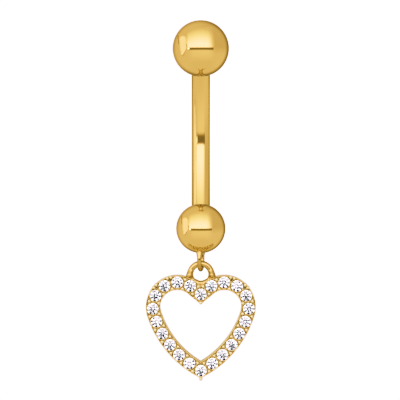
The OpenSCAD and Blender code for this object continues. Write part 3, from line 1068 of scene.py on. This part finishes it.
# %% [markdown]
# Each number below is how bright one part of the tent is, with the walls at about 1.
# The pairs are where a change starts and ends, across or up the mirror ball, and a
# window has its two ends and how soft they are. The narrow seams are the edges of
# the cloth, which a polished ball shows as thin dark lines. Behind the ring the tent
# is darker, and that draws the contours of the gold.
# %% The light tent
WALL_ACROSS, WALL_UP = (-0.4, 0.5), (-0.25, 0.1)
LEFT_WALL, RIGHT_WALL = 1.0, 0.88
LOW_LEFT, LOW_RIGHT = 1.02, 1.03
FRONT_ACROSS, FRONT_TOP, FRONT_UP = (-0.36, 0.4, 0.16), (0.0, -0.06), (-0.12, -0.55)
LOW_FRONT, LOW_DEEP = 1.16, 1.0
BOX_LEFT, BOX_RIGHT, BOX_UP = (-0.54, -0.42), (0.52, 0.22), (0.01, 0.74, 0.02)
BOX_BOW, BOX_FADE, BOX_WARM = 0.6, (0.18, 0.70), (0.62, 0.25)
SOFT_BOX, SOFT_BOX_TOP = 2.1, 1.0
SIDE_BOX = 1.48
SIDE_STRIPS = (
    ((-0.635, 0.32), (-0.61, -0.04), 0.11),
    ((-0.61, -0.04), (-0.65, -0.18), 0.05),
)
SEAMS = (
    ((-0.80, 0.46), (-0.775, 0.16), 0.016, 0.66),
    ((-0.50, 0.13), (-0.48, 0.0), 0.014, 0.62),
    ((-0.48, 0.0), (-0.64, -0.26), 0.014, 0.70),
)
SLIT, SLIT_ACROSS = 0.45, (-0.44, 0.45, 0.02)
SLIT_FOOT, SLIT_TOP = (-0.08, -0.035), (0.036, 0.012)
LAMP, LAMP_LINE = 3.0, ((-0.44, -0.012), (-0.43, -0.012), 0.03)
BEHIND, FAR_BEHIND = 0.50, 0.85
BEHIND_DEPTH, BEHIND_FADE = (-0.52, -0.25), (-0.22, -0.08)
LOWER_RIGHT, RIGHT_FADE, RIGHT_SHARE = -0.5, (-0.6, 0.2), 0.5


def tent_light(net, spot, across, up):
    """How bright the tent is in each direction, and how far it is soft box and not cloth."""
    high_wall = net.ramp(across, *WALL_ACROSS, LEFT_WALL, RIGHT_WALL)
    low_wall = net.ramp(across, *WALL_ACROSS, LOW_LEFT, LOW_RIGHT)
    light = net.mix(net.ramp(up, *WALL_UP), low_wall, high_wall)
    front = net.times(net.window(across, *FRONT_ACROSS), net.ramp(up, *FRONT_TOP))
    light = net.mix(front, light, net.ramp(up, *FRONT_UP, LOW_FRONT, LOW_DEEP))
    width = net.times(net.ramp(across, *BOX_LEFT), net.ramp(across, *BOX_RIGHT))
    box = net.times(width, net.window(up, *BOX_UP))
    bow = net.times(net.times(across, across), BOX_BOW)
    reach = net.math("ADD", up, bow)
    light = net.mix(box, light, net.ramp(reach, *BOX_FADE, SOFT_BOX, SOFT_BOX_TOP, "LINEAR"))
    side = net.math("MAXIMUM", *(seam(net, spot, *strip) for strip in SIDE_STRIPS))
    light = net.mix(side, light, SIDE_BOX)
    for start, end, half, value in SEAMS:
        light = net.mix(seam(net, spot, start, end, half), light, value)
    gap = net.times(net.ramp(up, *SLIT_FOOT), net.ramp(up, *SLIT_TOP))
    light = net.mix(net.times(net.window(across, *SLIT_ACROSS), gap), light, SLIT)
    light = net.mix(seam(net, spot, *LAMP_LINE), light, LAMP)
    warm = net.times(box, net.ramp(reach, *BOX_WARM))
    return light, net.math("MAXIMUM", warm, side)


def with_back(net, light, across, depth, up):
    """The light with the tent's back laid over it, half as strongly at the lower right."""
    corner = net.math("MULTIPLY_ADD", up, LOWER_RIGHT, across)
    share = net.ramp(corner, *RIGHT_FADE, RIGHT_SHARE, 1.0)
    back = net.times(net.ramp(depth, *BEHIND_DEPTH), share)
    return net.mix(back, light, net.ramp(depth, *BEHIND_FADE, BEHIND, FAR_BEHIND))


light, boxes = tent_light(tent, spot, sides["X"], sides["Z"])
light = with_back(tent, light, sides["X"], sides["Y"], sides["Z"])
print("nodes in the tent:", len(tent.nodes))

# %% [markdown]
# What shines through a stone gets more contrast, as the square of the light, because
# a small stone picks out the lamps behind the cloth. It also shows the dark lens,
# which makes the specks in the middle of a brilliant. The camera itself sees plain
# white cloth, just brighter than what the picture shows as white, so that it is blank
# but doesn't bleach the thin gold edges in front of it.
# %% Who sees which light
SPARKLE = 1.15
LENS, LENS_HALF = 0.02, 0.16
CLOTH_SEEN = 1.85
WALL_TINT = (1.0, 0.97, 0.90, 1)
BOX_TINT = (1.05, 0.96, 1.02, 1)
STONE_TINT = (0.97, 0.955, 1.03, 1)


def finish_tent(net, spot, light, boxes):
    """The world's light: the tent's, its square through a stone, and white for the camera."""
    path = net.add("LightPath").outputs
    through, seen = path["Is Transmission Ray"], path["Is Camera Ray"]
    sparkle = net.times(net.times(light, light), SPARKLE)
    sparkle = net.mix(seam(net, spot, (0, 0), (0.001, 0), LENS_HALF), sparkle, LENS)
    light = net.mix(seen, net.mix(through, light, sparkle), CLOTH_SEEN)
    colour = net.mix(net.math("MAXIMUM", boxes, seen), WALL_TINT, BOX_TINT, "RGBA")
    colour = net.mix(through, colour, STONE_TINT, "RGBA")
    background = net.add("Background", {"Color": colour, "Strength": light}).outputs[0]
    net.add("OutputWorld", {"Surface": background})


finish_tent(tent, spot, light, boxes)
print("nodes in the whole world:", len(tent.nodes))

# %% [markdown]
# A catalogue picture is developed with a strong curve: the shadows of the gold go
# deep and warm, and its lights turn to cream. Colour management can hold such curves,
# one for each colour. Their points say how bright a light value comes out, with
# WHITE_LEVEL as white. Red reaches white first, which keeps the gold's lights warm.
# %% Developing curve
WHITE_LEVEL = 1.7
LIGHTS = (0.18, 0.33, 0.54, 0.70, 1.0, 1.5)
RED = (0.018, 0.112, 0.295, 0.46, 0.735, 0.945)
GREEN = (0.022, 0.13, 0.32, 0.475, 0.715, 0.885)
BLUE = (0.024, 0.123, 0.31, 0.47, 0.725, 0.895)
RED_SHOULDER = (1.25, 0.87)


def develop():
    """Sets the plain view transform with one curve for each colour."""
    view = bpy.context.scene.view_settings
    view.view_transform = "Standard"
    view.look = "None"
    view.use_curve_mapping = True
    mapping = view.curve_mapping
    mapping.white_level = (WHITE_LEVEL,) * 3
    for curve, shown in zip(mapping.curves, (RED, GREEN, BLUE)):
        for light, value in zip(LIGHTS, shown):
            curve.points.new(light / WHITE_LEVEL, value)
    mapping.curves[0].points.new(RED_SHOULDER[0] / WHITE_LEVEL, RED_SHOULDER[1])
    mapping.update()
    return [len(curve.points) for curve in mapping.curves]


print("points of the curves:", develop())

print("pieces:", [piece.name for piece in PIECES])
